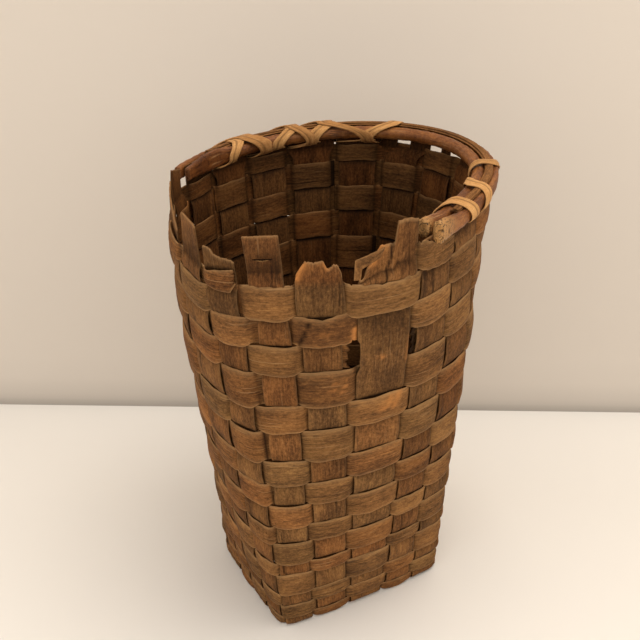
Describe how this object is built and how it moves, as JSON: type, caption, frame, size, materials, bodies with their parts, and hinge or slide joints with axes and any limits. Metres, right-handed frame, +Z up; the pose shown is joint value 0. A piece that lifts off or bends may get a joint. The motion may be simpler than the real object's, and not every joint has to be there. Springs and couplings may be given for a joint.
{
  "type": "woven splint basket",
  "caption": "Tall open basket woven from wide flat wood splints, square at the floor and round at the rim, with part of the laced rim and several upper splints broken away at the front.",
  "frame": {"origin": "centre of the bounding box at the flat underside of the floor", "axes": "+Z up out of the mouth, +Y away from the broken front, +X to the right"},
  "size_m": [0.313, 0.319, 0.4801],
  "materials": {
    "stake_wood": "dry aged splint, grain along the strip",
    "weaver_wood": "dry aged splint, grain along the strip",
    "hoop_wood": "smooth worn branch and bent rim strip",
    "lashing_wood": "pale smooth splint"
  },
  "bodies": {
    "root": {"long_splint_1": "stake_wood", "cross_splint_1": "stake_wood", "long_splint_2": "stake_wood", "cross_splint_2": "stake_wood", "long_splint_3": "stake_wood", "cross_splint_3": "stake_wood", "long_splint_4": "stake_wood", "cross_splint_4": "stake_wood", "long_splint_5": "stake_wood", "cross_splint_5": "stake_wood", "weaver_01": "weaver_wood", "weaver_02": "weaver_wood", "weaver_03": "weaver_wood", "weaver_04": "weaver_wood", "weaver_05": "weaver_wood", "weaver_06": "weaver_wood", "weaver_07": "weaver_wood", "weaver_08": "weaver_wood", "weaver_09": "weaver_wood", "weaver_10": "weaver_wood", "weaver_11": "weaver_wood", "weaver_12": "weaver_wood", "weaver_13": "weaver_wood", "weaver_14": "weaver_wood", "weaver_15": "weaver_wood", "weaver_16": "weaver_wood", "weaver_17": "weaver_wood", "inner_hoop": "hoop_wood", "outer_hoop": "hoop_wood", "rim_filler_1": "stake_wood", "rim_filler_2": "stake_wood", "lashing_1": "lashing_wood", "lashing_2": "lashing_wood", "lashing_3": "lashing_wood"}
  },
  "joints": []
}
